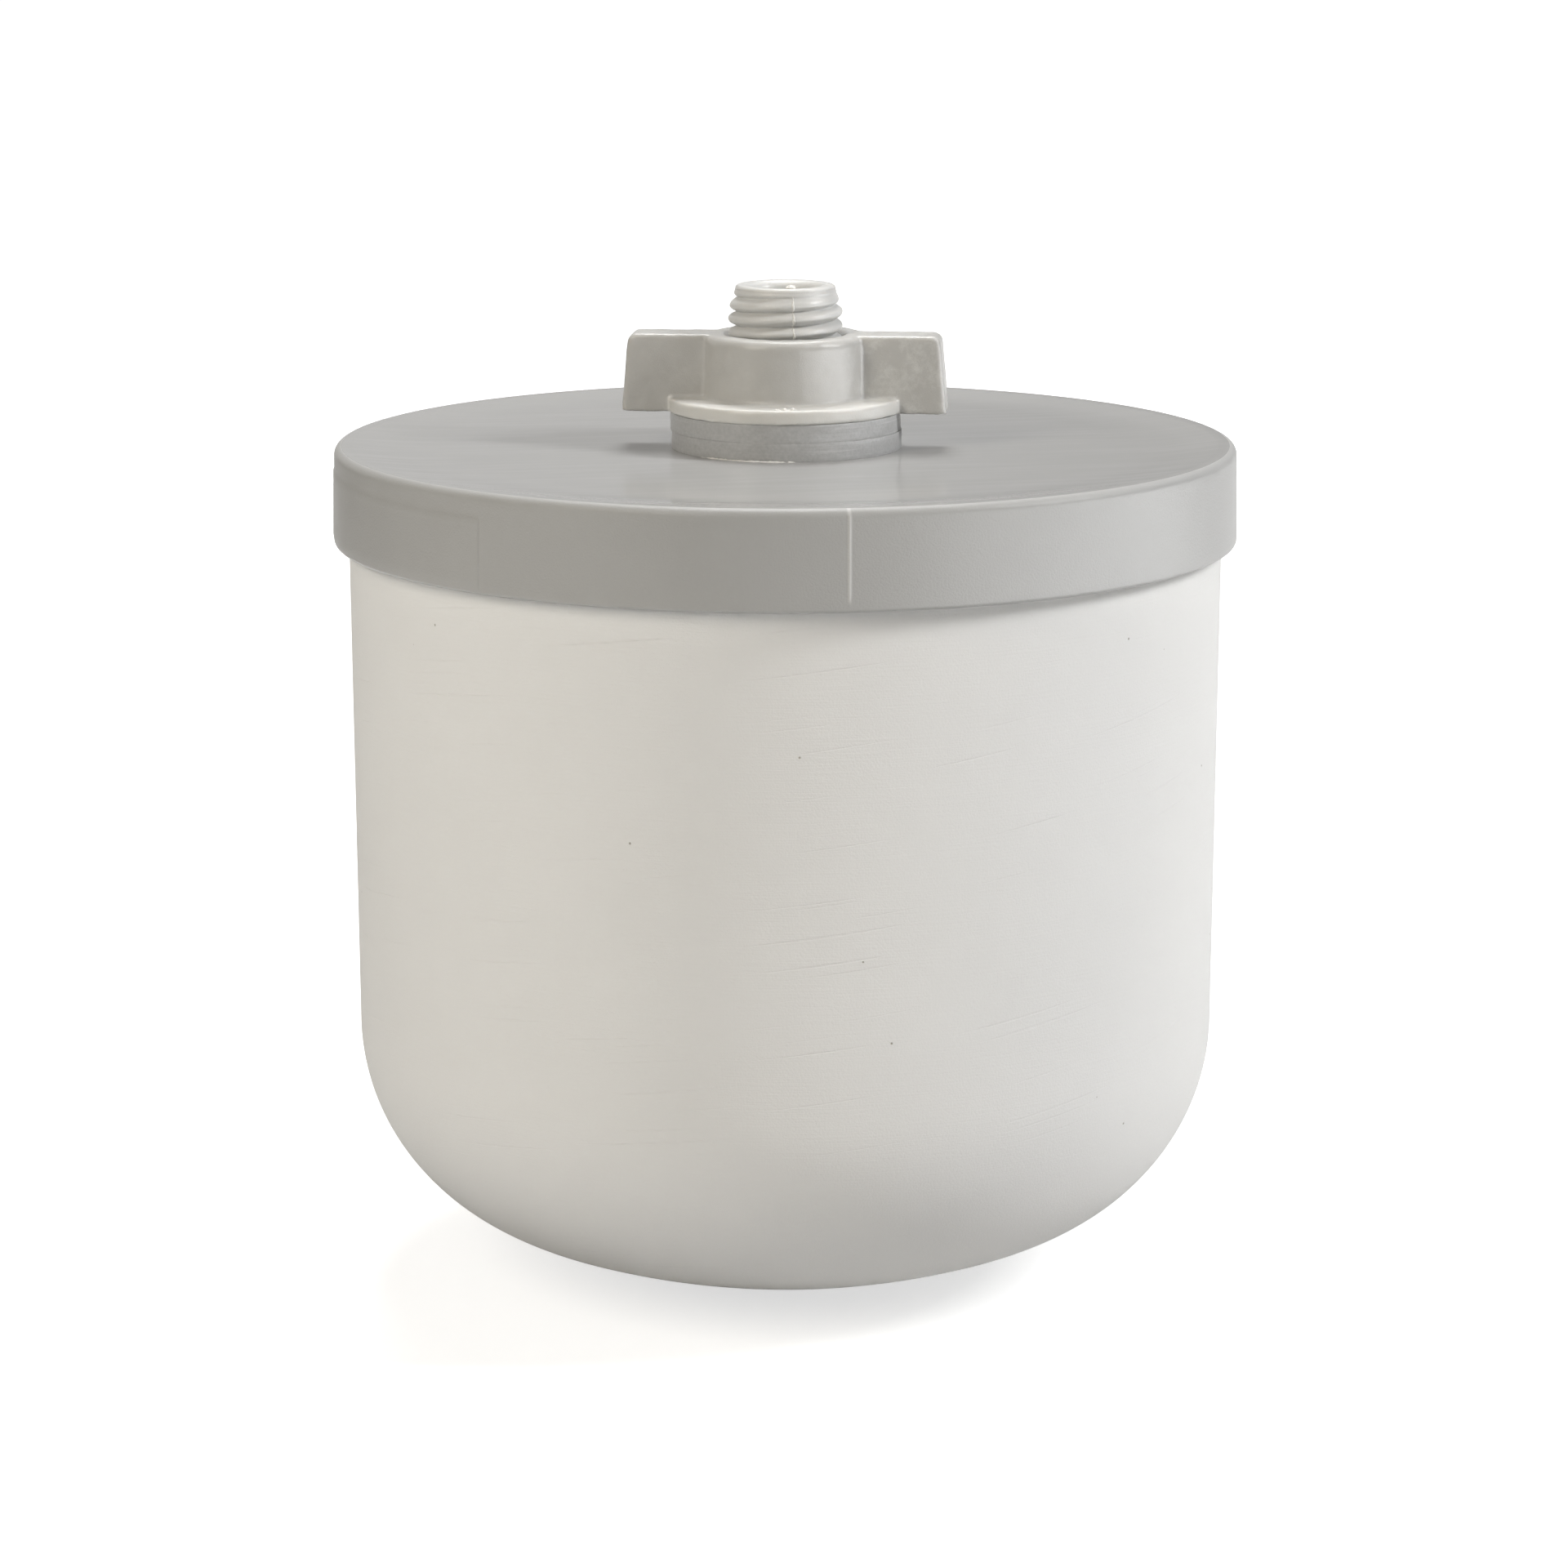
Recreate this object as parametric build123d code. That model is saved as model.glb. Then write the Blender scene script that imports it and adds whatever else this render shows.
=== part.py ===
from build123d import *
import math
import os

# Ceramic dome filter element for a table water dispenser, in millimetres.
# The dome stands on a small flat at its pole, which lies at the origin with +Z up.
# Above it come the cap, the outlet stem, two washers and a wing nut.

# Ceramic dome: a hollow cup, measured on its outside
dome_height = 85.35
dome_rim_diameter = 91.9
dome_wall = 8.0
dome_draft_angle = 0.29
dome_knuckle_radius = 23.1
dome_crown_radius = 81.0
dome_rim_round = 0.8
dome_flat_diameter = 16.0

# Adhesive that seals the dome's rim into the cap
bond_bed = 0.6
bond_gap = 0.35
bond_depth = 3.5

# End cap: top plate with a low raised rim, and skirt
cap_height = 10.1
cap_plate = 2.4
rim_rise = 0.6
rim_width = 1.5
rim_slope_width = 1.7
rim_slope_round = 1.0
cap_edge_round = 0.5
skirt_wall = 1.2
skirt_draft_angle = 1.1
skirt_edge_round = 0.4
stem_hole_clearance = 0.05

# Raised bare panel on the skirt
panel_arc = 100.0
panel_middle = 180.0
panel_proud = 0.1
panel_below_top = 2.6
panel_above_foot = 0.6
panel_root = 0.3

# Outlet stem and its right-hand thread
stem_reach = 17.0
stem_bore_diameter = 6.7
stem_head_diameter = 24.0
stem_head_thickness = 2.0
stem_shank_above_cap = 0.4
stem_mouth_round = 0.6
stem_tip_round = 0.45
lead_ring_diameter = 10.75
lead_ring_height = 1.0
lead_taper_height = 0.6
thread_diameter = 12.0
thread_pitch = 1.5
thread_depth = 0.8
thread_crest_width = 0.35
thread_flank_angle = 26.5
thread_first_crest = 0.72
thread_embed = 0.1

# Sealing washers
washer_diameter = 24.3
washer_thickness = 1.9
washer_hole_clearance = 0.3
washer_edge_round = 0.12
lower_washer_shift = 0.12

# Wing nut
nut_height = 8.15
nut_flange_diameter = 24.5
nut_flange_thickness = 1.5
nut_hub_diameter = 17.0
nut_hub_draft_angle = 1.0
nut_mouth_diameter = 13.1
nut_foot_diameter = 12.7
nut_hub_round = 0.9
nut_flange_round = 0.25
nut_root_round = 0.25
wing_span = 34.1
wing_thickness = 5.0
wing_draft_angle = 4.9
wing_corner_round = 1.0
wing_edge_round = 0.45
wing_turn = -5.0
thread_clearance = 0.15
thread_root_clearance = 0.25
tap_overrun = 2.5

# Heights and radii that follow from them
dome_rim_radius = dome_rim_diameter / 2
cap_ceiling = dome_height + bond_bed
cap_seat = cap_ceiling + cap_plate
cap_top = cap_seat + rim_rise
skirt_bottom = cap_top - cap_height
skirt_inner_radius = dome_rim_radius + bond_gap
skirt_foot_radius = skirt_inner_radius + skirt_wall
skirt_slope = math.tan(math.radians(skirt_draft_angle))
stem_top = cap_seat + stem_reach
stem_bore_radius = stem_bore_diameter / 2
thread_radius = thread_diameter / 2
thread_root_radius = thread_radius - thread_depth
thread_slope = math.tan(math.radians(thread_flank_angle))
thread_start = cap_seat + thread_first_crest - thread_pitch
lower_washer_top = cap_seat + washer_thickness
nut_bottom = lower_washer_top + washer_thickness
nut_top = nut_bottom + nut_height


def turned(points, rounds):
    """Revolve a closed outline of (radius, height) points, with some of its corners rounded."""
    outline = make_face(Plane.XZ * Polyline(*points, close=True))
    for (radius, height), size in rounds:
        corner = outline.vertices().sort_by_distance((radius, 0, height))[0]
        outline = fillet(corner, size)
    return revolve(outline, Axis.Z)


def dome_curve(inset, flat_radius):
    """Half outline of the dome, set in by a wall thickness: wall, knuckle arc, crown arc down to a flat."""
    draft = math.radians(dome_draft_angle)
    along = Vector(-math.sin(draft), -math.cos(draft))
    outward = Vector(math.cos(draft), -math.sin(draft))
    knuckle = dome_knuckle_radius - inset
    crown = dome_crown_radius - inset
    rim = Vector(dome_rim_radius - inset / math.cos(draft), dome_height)
    crown_centre = Vector(0, math.sqrt(dome_crown_radius**2 - (dome_flat_diameter / 2) ** 2))
    start = rim - outward * knuckle - crown_centre
    run = start.dot(along)
    wall_length = -run + math.sqrt(run**2 - start.dot(start) + (crown - knuckle) ** 2)
    knuckle_centre = rim + along * wall_length - outward * knuckle
    meeting = (knuckle_centre - crown_centre).normalized()
    lowest = Vector(flat_radius, -math.sqrt(crown**2 - flat_radius**2)).normalized()
    wall_end = knuckle_centre + outward * knuckle
    knuckle_middle = knuckle_centre + (outward + meeting).normalized() * knuckle
    knuckle_end = knuckle_centre + meeting * knuckle
    crown_middle = crown_centre + (meeting + lowest).normalized() * crown
    crown_end = crown_centre + lowest * crown
    return [
        Line(rim, wall_end),
        ThreePointArc(wall_end, knuckle_middle, knuckle_end),
        ThreePointArc(knuckle_end, crown_middle, crown_end),
    ]


def make_ceramic_dome():
    outside = dome_curve(0, dome_flat_diameter / 2)
    inside = dome_curve(dome_wall, 0)
    rim = Line(inside[0] @ 0, outside[0] @ 0)
    flat = Line(outside[-1] @ 1, (0, 0))
    axis = Line((0, 0), inside[-1] @ 1)
    outline = make_face(Plane.XZ * Curve(children=[rim, *outside, flat, axis, *inside]))
    inner_corner = inside[0] @ 0
    corner = outline.vertices().sort_by_distance((inner_corner.X, 0, inner_corner.Y))[0]
    outline = fillet(corner, dome_rim_round)
    return revolve(outline, Axis.Z)


def make_bond_ring():
    draft = math.tan(math.radians(dome_draft_angle))
    bed_inner_radius = dome_rim_radius - dome_wall + dome_rim_round
    foot = dome_height - bond_depth
    return turned(
        [
            (bed_inner_radius, dome_height),
            (dome_rim_radius, dome_height),
            (dome_rim_radius - bond_depth * draft, foot),
            (skirt_inner_radius, foot),
            (skirt_inner_radius, cap_ceiling),
            (bed_inner_radius, cap_ceiling),
        ],
        [],
    )


def make_end_cap():
    hole_radius = thread_radius + stem_hole_clearance
    top_radius = skirt_foot_radius - cap_height * skirt_slope
    slope_head_radius = top_radius - rim_width
    slope_foot_radius = slope_head_radius - rim_slope_width
    body = turned(
        [
            (hole_radius, cap_ceiling),
            (skirt_inner_radius, cap_ceiling),
            (skirt_inner_radius, skirt_bottom),
            (skirt_foot_radius, skirt_bottom),
            (top_radius, cap_top),
            (slope_head_radius, cap_top),
            (slope_foot_radius, cap_seat),
            (hole_radius, cap_seat),
        ],
        [
            ((skirt_foot_radius, skirt_bottom), skirt_edge_round),
            ((top_radius, cap_top), cap_edge_round),
            ((slope_head_radius, cap_top), rim_slope_round),
            ((slope_foot_radius, cap_seat), rim_slope_round),
        ],
    )
    panel_foot = skirt_bottom + panel_above_foot
    panel_top = cap_top - panel_below_top
    foot_radius = skirt_foot_radius - panel_above_foot * skirt_slope
    head_radius = skirt_foot_radius - (panel_top - skirt_bottom) * skirt_slope
    section = Polyline(
        (foot_radius - panel_root, panel_foot),
        (foot_radius + panel_proud, panel_foot),
        (head_radius + panel_proud, panel_top),
        (head_radius - panel_root, panel_top),
        close=True,
    )
    first_edge = panel_middle - panel_arc / 2
    panel = revolve(make_face(Plane.XZ * section), Axis.Z, panel_arc).rotate(Axis.Z, first_edge)
    return body + panel


def thread_ridge(inner_radius, outer_radius, crest_half_width, top):
    """Helical ridge on the stem's pitch, between two radii, a trapezium in section."""
    foot_half_width = crest_half_width + (outer_radius - inner_radius) * thread_slope
    section = [
        (inner_radius, -foot_half_width),
        (inner_radius, foot_half_width),
        (outer_radius, crest_half_width),
        (outer_radius, -crest_half_width),
    ]
    length = top - thread_start
    helices = []
    for radius, rise in section:
        helices.append(Pos(0, 0, thread_start + rise) * Edge.make_helix(thread_pitch, length, radius))
    faces = []
    for near, far in zip(helices, helices[1:] + helices[:1]):
        faces.append(Face.make_surface_from_curves(near, far))
    for end in (0, 1):
        faces.append(Face(Wire.make_polygon([helix @ end for helix in helices])))
    return Solid(Shell(faces))


def make_outlet_stem():
    head_radius = stem_head_diameter / 2
    lead_radius = lead_ring_diameter / 2
    shank_top = cap_seat + stem_shank_above_cap
    lead_foot = stem_top - lead_ring_height
    core = turned(
        [
            (stem_bore_radius, cap_ceiling - stem_head_thickness),
            (head_radius, cap_ceiling - stem_head_thickness),
            (head_radius, cap_ceiling),
            (thread_radius, cap_ceiling),
            (thread_radius, shank_top),
            (thread_root_radius, shank_top),
            (thread_root_radius, lead_foot),
            (lead_radius, lead_foot),
            (lead_radius, stem_top),
            (stem_bore_radius, stem_top),
        ],
        [((lead_radius, stem_top), stem_tip_round), ((stem_bore_radius, stem_top), stem_mouth_round)],
    )
    ridge = thread_ridge(thread_root_radius - thread_embed, thread_radius, thread_crest_width / 2, stem_top)
    envelope = turned(
        [
            (0, shank_top),
            (thread_radius + thread_embed, shank_top),
            (thread_radius + thread_embed, lead_foot - lead_taper_height),
            (lead_radius, lead_foot),
            (0, lead_foot),
        ],
        [],
    )
    return core + (ridge & envelope)


def make_washer(bottom, shift):
    hole_radius = thread_radius + washer_hole_clearance
    rim_radius = washer_diameter / 2
    top = bottom + washer_thickness
    washer = turned(
        [(hole_radius, bottom), (rim_radius, bottom), (rim_radius, top), (hole_radius, top)],
        [((rim_radius, bottom), washer_edge_round), ((rim_radius, top), washer_edge_round)],
    )
    return Pos(shift, 0, 0) * washer


def make_wings():
    """Bar from wing tip to wing tip, with drafted ends and soft edges."""
    foot_half_span = wing_span / 2
    head_half_span = foot_half_span - nut_height * math.tan(math.radians(wing_draft_angle))
    outline = make_face(
        Plane.XZ
        * Polyline(
            (-foot_half_span, nut_bottom),
            (foot_half_span, nut_bottom),
            (head_half_span, nut_top),
            (-head_half_span, nut_top),
            close=True,
        )
    )
    outline = fillet(outline.vertices().group_by(Axis.Z)[-1], wing_corner_round)
    bar = extrude(outline, wing_thickness / 2, both=True)
    sides = bar.faces().sort_by(Axis.Y)
    side_edges = sides[0].edges() + sides[-1].edges()
    soft_edges = side_edges.filter_by(lambda edge: edge.center().Z > nut_bottom + wing_edge_round)
    bar = fillet(soft_edges, wing_edge_round)
    return bar.rotate(Axis.Z, wing_turn)


def make_wing_nut():
    flange_radius = nut_flange_diameter / 2
    flange_top = nut_bottom + nut_flange_thickness
    hub_head_radius = nut_hub_diameter / 2
    hub_foot_radius = hub_head_radius + (nut_top - flange_top) * math.tan(math.radians(nut_hub_draft_angle))
    hub = turned(
        [
            (0, nut_bottom),
            (flange_radius, nut_bottom),
            (flange_radius, flange_top),
            (hub_foot_radius, flange_top),
            (hub_head_radius, nut_top),
            (0, nut_top),
        ],
        [
            ((flange_radius, flange_top), nut_flange_round),
            ((hub_foot_radius, flange_top), nut_root_round),
            ((hub_head_radius, nut_top), nut_hub_round),
        ],
    )
    minor_radius = thread_root_radius + thread_root_clearance
    groove = thread_ridge(
        minor_radius - thread_embed,
        thread_radius + thread_clearance,
        thread_crest_width / 2 + thread_clearance,
        nut_top + tap_overrun,
    )
    tap_foot = thread_start - tap_overrun
    tap_head = nut_top + 2 * tap_overrun
    bore = turned([(0, tap_foot), (minor_radius, tap_foot), (minor_radius, tap_head), (0, tap_head)], [])
    mouth_radius = nut_mouth_diameter / 2
    mouth = turned([(0, nut_top - mouth_radius), (mouth_radius, nut_top), (0, nut_top)], [])
    foot_radius = nut_foot_diameter / 2
    foot = turned([(0, nut_bottom), (foot_radius, nut_bottom), (0, nut_bottom + foot_radius)], [])
    return hub + make_wings() - (bore + groove) - mouth - foot


pieces = {
    "ceramic_dome": make_ceramic_dome(),
    "bond_ring": make_bond_ring(),
    "end_cap": make_end_cap(),
    "outlet_stem": make_outlet_stem(),
    "lower_washer": make_washer(cap_seat, lower_washer_shift),
    "upper_washer": make_washer(lower_washer_top, 0),
    "wing_nut": make_wing_nut(),
}
os.makedirs("parts", exist_ok=True)
for name, piece in pieces.items():
    export_step(piece, f"parts/{name}.step")
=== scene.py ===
import math

import bmesh
import bpy
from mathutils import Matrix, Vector, noise


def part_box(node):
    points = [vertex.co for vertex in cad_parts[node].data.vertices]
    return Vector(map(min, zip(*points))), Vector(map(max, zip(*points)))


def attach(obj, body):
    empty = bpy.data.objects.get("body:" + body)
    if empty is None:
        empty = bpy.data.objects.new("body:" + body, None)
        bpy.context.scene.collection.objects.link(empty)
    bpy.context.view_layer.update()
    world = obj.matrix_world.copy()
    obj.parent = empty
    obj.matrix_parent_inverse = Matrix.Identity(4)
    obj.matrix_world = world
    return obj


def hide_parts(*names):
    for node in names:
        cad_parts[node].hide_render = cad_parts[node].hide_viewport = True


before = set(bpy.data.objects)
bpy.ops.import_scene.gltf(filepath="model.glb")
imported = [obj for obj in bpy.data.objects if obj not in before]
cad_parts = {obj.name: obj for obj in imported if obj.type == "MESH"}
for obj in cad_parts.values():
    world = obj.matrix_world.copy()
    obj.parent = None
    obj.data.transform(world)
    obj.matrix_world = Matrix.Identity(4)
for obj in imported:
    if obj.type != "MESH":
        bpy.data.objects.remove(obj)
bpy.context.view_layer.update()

# Ceramic dome: one hollow cup of pressed and fired diatomite, closed end down, standing on a small flat.
# The unglazed body is finely porous, so it scatters light like chalk. It was rubbed smooth as it turned,
# which leaves fine level marks, a few longer scratches that climb to the right, and some open pores.
MM = 0.001
dome_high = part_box("ceramic_dome")[1]
dome_radius = dome_high.x / MM
dome_height = dome_high.z / MM
dome_wall = 8.0
dome_draft = math.radians(0.29)
dome_knuckle_radius = 23.1
dome_crown_radius = 81.0
dome_flat_radius = 8.0
wall_steps = 24
knuckle_steps = 40
crown_steps = 24


def srgb(colour):
    """Linear colour, with alpha, of an sRGB hex value."""
    channels = [int(colour[i:i + 2], 16) / 255 for i in (1, 3, 5)]
    return [c / 12.92 if c <= 0.04045 else ((c + 0.055) / 1.055) ** 2.4 for c in channels] + [1.0]


def add(tree, kind, sockets, **settings):
    """Add a node with these settings, and set or link the sockets given by name or number."""
    node = tree.nodes.new(kind)
    for name, value in settings.items():
        setattr(node, name, value)
    for name, value in sockets.items():
        if isinstance(value, bpy.types.NodeSocket):
            tree.links.new(value, node.inputs[name])
        else:
            node.inputs[name].default_value = value
    return node


def new_material(name):
    """A material with an empty node tree."""
    material = bpy.data.materials.new(name)
    material.use_nodes = True
    material.node_tree.nodes.clear()
    return material


def new_piece(name, points, faces, body, material):
    """A smooth closed mesh from points in millimetres, which rides on a body of the frame."""
    mesh = bpy.data.meshes.new(name)
    mesh.from_pydata([Vector(p) * MM for p in points], [], faces)
    shell = bmesh.new()
    shell.from_mesh(mesh)
    bmesh.ops.remove_doubles(shell, verts=shell.verts, dist=0.001 * MM)
    bmesh.ops.recalc_face_normals(shell, faces=shell.faces)
    shell.to_mesh(mesh)
    shell.free()
    mesh.shade_smooth()
    mesh.materials.append(material)
    piece = bpy.data.objects.new(name, mesh)
    bpy.context.scene.collection.objects.link(piece)
    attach(piece, body)
    return piece


def turns(count, close_to=(), reach=0.0, close_count=0):
    """Angles once around, this many evenly and more of them within reach of some angles."""
    angles = [math.tau * i / count for i in range(count)]
    for middle in close_to:
        angles += [(middle + reach * (2 * i / close_count - 1)) % math.tau for i in range(close_count + 1)]
    return sorted(set(angles))


def plain(angle, radius, height):
    """The radius of a turned piece with nothing on it."""
    return radius


def turned(outline, angles, radius_at=plain):
    """Points and faces of a closed outline turned about the axis, with radius_at setting each radius."""
    points = []
    for angle in angles:
        for radius, height in outline:
            reach = radius_at(angle, radius, height)
            points.append((reach * math.cos(angle), reach * math.sin(angle), height))
    rows = len(outline)
    faces = []
    for i in range(len(angles)):
        here, after = i * rows, (i + 1) % len(angles) * rows
        faces += [(here + k, after + k, after + (k + 1) % rows, here + (k + 1) % rows) for k in range(rows)]
    return points, faces


def arc(centre, radius, start, end, count):
    """Points of an arc between two unit vectors, with both ends."""
    return [centre + start.slerp(end, i / count) * radius for i in range(count + 1)]


def dome_outline(inset, flat_radius):
    """Half outline of the dome, set in by a thickness: wall, knuckle arc, and crown arc down to a flat."""
    along = Vector((-math.sin(dome_draft), -math.cos(dome_draft)))
    outward = Vector((math.cos(dome_draft), -math.sin(dome_draft)))
    knuckle = dome_knuckle_radius - inset
    crown = dome_crown_radius - inset
    rim = Vector((dome_radius - inset / math.cos(dome_draft), dome_height))
    crown_centre = Vector((0, math.sqrt(dome_crown_radius ** 2 - dome_flat_radius ** 2)))
    start = rim - outward * knuckle - crown_centre
    run = start.dot(along)
    wall_length = -run + math.sqrt(run ** 2 - start.dot(start) + (crown - knuckle) ** 2)
    knuckle_centre = rim + along * wall_length - outward * knuckle
    meeting = (knuckle_centre - crown_centre).normalized()
    lowest = Vector((flat_radius, -math.sqrt(crown ** 2 - flat_radius ** 2))).normalized()
    wall = [rim + along * wall_length * i / wall_steps for i in range(wall_steps)]
    knuckle_arc = arc(knuckle_centre, knuckle, outward, meeting, knuckle_steps)
    crown_arc = arc(crown_centre, crown, meeting, lowest, crown_steps)
    return wall + knuckle_arc + crown_arc[1:]


ceramic = new_material("unglazed_rubbed_ceramic")
dome_section = dome_outline(0, dome_flat_radius) + [Vector((0, 0))] + dome_outline(dome_wall, 0)[::-1]
dome_points, dome_faces = turned(dome_section, turns(360))
dome = new_piece("ceramic_dome_body", dome_points, dome_faces, "filter", ceramic)
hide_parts("ceramic_dome")


def unrolled(tree, radius):
    """Place on a round wall, unrolled from its front line: (way to the right, height, 0) in millimetres."""
    axes = add(tree, "ShaderNodeSeparateXYZ", {0: add(tree, "ShaderNodeTexCoord", {}).outputs["Object"]})
    front = add(tree, "ShaderNodeMath", {0: axes.outputs["Y"], 1: -1.0}, operation="MULTIPLY")
    turn = add(tree, "ShaderNodeMath", {0: axes.outputs["X"], 1: front.outputs[0]}, operation="ARCTAN2")
    way = add(tree, "ShaderNodeMath", {0: turn.outputs[0], 1: radius}, operation="MULTIPLY")
    height = add(tree, "ShaderNodeMath", {0: axes.outputs["Z"], 1: MM}, operation="DIVIDE")
    return add(tree, "ShaderNodeCombineXYZ", {"X": way.outputs[0], "Y": height.outputs[0]}).outputs[0]


tree = ceramic.node_tree
solid = add(tree, "ShaderNodeTexCoord", {}).outputs["Object"]
skin = unrolled(tree, dome_radius)
# The clay's white drifts over about 25 mm.
drift = add(tree, "ShaderNodeTexNoise", {"Vector": solid, "Scale": 1 / (25 * MM), "Detail": 3.0})
clay = add(
    tree, "ShaderNodeMix",
    {"Factor": drift.outputs["Fac"], "A": srgb("#E0E0DF"), "B": srgb("#E6E6E5")},
    data_type="RGBA",
)
# Open pores: about a quarter of a millimetre across and far apart, painted darker as the shade inside them.
pore = add(tree, "ShaderNodeTexVoronoi", {"Vector": solid, "Scale": 1 / (5 * MM)})
closed = add(
    tree, "ShaderNodeMapRange",
    {"Value": pore.outputs["Distance"], "From Min": 0.014, "From Max": 0.03},
)
clay_with_painted_pore_shade = add(
    tree, "ShaderNodeMix",
    {"Factor": closed.outputs[0], "A": srgb("#ABA79F"), "B": clay.outputs[2]},
    data_type="RGBA",
)
# Rubbing marks: level, about 6 mm long and 0.2 mm wide.
marks_at = add(tree, "ShaderNodeMapping", {"Vector": skin, "Scale": (6.0, 0.2, 1.0)}, vector_type="TEXTURE")
marks = add(tree, "ShaderNodeTexNoise", {"Vector": marks_at.outputs[0], "Scale": 1.0, "Detail": 2.0})
# Scratches: grooves 20 mm long and about 0.2 mm wide, which climb 7 degrees to the right.
scratch_at = add(
    tree, "ShaderNodeMapping",
    {"Vector": skin, "Rotation": (0, 0, math.radians(7)), "Scale": (20.0, 0.35, 1.0)},
    vector_type="TEXTURE",
)
scratch = add(tree, "ShaderNodeTexNoise", {"Vector": scratch_at.outputs[0], "Scale": 1.0, "Detail": 0.0})
unscratched = add(
    tree, "ShaderNodeMapRange",
    {"Value": scratch.outputs["Fac"], "From Min": 0.84, "From Max": 0.74},
)
# The fired grain is drawn a fifth of a millimetre wide, coarser than it is, so that it shows.
grain = add(tree, "ShaderNodeTexNoise", {"Vector": solid, "Scale": 1 / (0.2 * MM), "Detail": 3.0})
grained = add(tree, "ShaderNodeBump", {"Height": grain.outputs["Fac"], "Distance": 0.03 * MM})
marked = add(
    tree, "ShaderNodeBump",
    {"Height": marks.outputs["Fac"], "Distance": 0.026 * MM, "Normal": grained.outputs[0]},
)
grooved = add(
    tree, "ShaderNodeBump",
    {"Height": unscratched.outputs[0], "Distance": 0.028 * MM, "Normal": marked.outputs[0]},
)
pitted = add(
    tree, "ShaderNodeBump",
    {"Height": closed.outputs[0], "Distance": 0.08 * MM, "Normal": grooved.outputs[0]},
)
chalky = add(
    tree, "ShaderNodeBsdfPrincipled",
    {
        "Base Color": clay_with_painted_pore_shade.outputs[2],
        "Roughness": 0.86,
        "Specular IOR Level": 0.1,
        "Normal": pitted.outputs[0],
    },
)
add(tree, "ShaderNodeOutputMaterial", {"Surface": chalky.outputs[0]})

# Bond ring: the bead of filled epoxy that seals the dome's rim into the cap, cured to a dull cream.
# Only the gap under the skirt lets it show.


def finish_with(material, *nodes):
    """Give this one material to CAD nodes."""
    for name in nodes:
        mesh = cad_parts[name].data
        mesh.materials.clear()
        mesh.materials.append(material)


adhesive = new_material("cured_filled_epoxy")
tree = adhesive.node_tree
solid = add(tree, "ShaderNodeTexCoord", {}).outputs["Object"]
lumps = add(tree, "ShaderNodeTexNoise", {"Vector": solid, "Scale": 1 / (1.5 * MM), "Detail": 2.0})
cream = add(
    tree, "ShaderNodeMix",
    {"Factor": lumps.outputs["Fac"], "A": srgb("#A3947A"), "B": srgb("#C2B59C")},
    data_type="RGBA",
)
lumpy = add(tree, "ShaderNodeBump", {"Height": lumps.outputs["Fac"], "Distance": 0.15 * MM})
dull = add(
    tree, "ShaderNodeBsdfPrincipled",
    {"Base Color": cream.outputs[2], "Roughness": 0.6, "Normal": lumpy.outputs[0]},
)
add(tree, "ShaderNodeOutputMaterial", {"Surface": dull.outputs[0]})
finish_with(adhesive, "bond_ring")

# End cap: one grey moulding, a flat top plate with a low raised rim, and a skirt over the dome's rim.
# The skirt carries a bare raised panel on the left, and a weld line in front where the melt met itself.
cap_low, cap_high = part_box("end_cap")
cap_radius = cap_high.x / MM
skirt_bottom = cap_low.z / MM
cap_top = cap_high.z / MM
cap_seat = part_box("lower_washer")[0].z / MM
cap_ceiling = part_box("bond_ring")[1].z / MM
cap_hole_radius = 6.05
skirt_inner_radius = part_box("bond_ring")[1].x / MM
skirt_taper = 0.0192
rim_width = 1.6
rim_slope_width = 6.0
panel_edges = (math.radians(130), math.radians(230.6))
panel_foot = skirt_bottom + 0.6
panel_top = cap_top - 2.6
panel_proud = 0.09
panel_bevel = 0.13
weld_angle = math.radians(-90 + 7.45)
weld_half_width = 0.17
weld_proud = 0.06
weld_foot = skirt_bottom + 1.1
weld_fade = 0.3
skirt_least_wall = 0.5
plain_margin = 0.4
skirt_foot_round = 0.4
cap_edge_round = 0.9
rim_crest_round = 10.0
rim_foot_round = 60.0


def rounded(corners, segments):
    """Closed outline through (radius, height, round) corners, each round drawn with this many segments."""
    outline = []
    for i, (radius, height, size) in enumerate(corners):
        here = Vector((radius, height))
        if size == 0:
            outline.append(here)
            continue
        before = (Vector(corners[i - 1][:2]) - here).normalized()
        after = (Vector(corners[(i + 1) % len(corners)][:2]) - here).normalized()
        half = math.acos(before.dot(after)) / 2
        centre = here + (before + after).normalized() * size / math.sin(half)
        start = here + before * size / math.tan(half) - centre
        sweep = (2 * half - math.pi) * math.copysign(1, before.cross(after))
        for step in range(segments + 1):
            turn = sweep * step / segments
            outline.append(centre + Vector((
                start.x * math.cos(turn) - start.y * math.sin(turn),
                start.x * math.sin(turn) + start.y * math.cos(turn),
            )))
    return outline


def divided(outline, longest):
    """The closed outline with extra points, so that no side is longer than this."""
    points = []
    for here, after in zip(outline, outline[1:] + outline[:1]):
        count = max(1, math.ceil((after - here).length / longest))
        points += [here.lerp(after, i / count) for i in range(count)]
    return points


def apart(angle, other):
    """Signed angle from one to the other, the short way round."""
    return (angle - other + math.pi) % math.tau - math.pi


def ramp(value, start, end):
    """0 before start, 1 after end, and smooth between."""
    share = min(1.0, max(0.0, (value - start) / (end - start)))
    return share * share * (3 - 2 * share)


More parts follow.
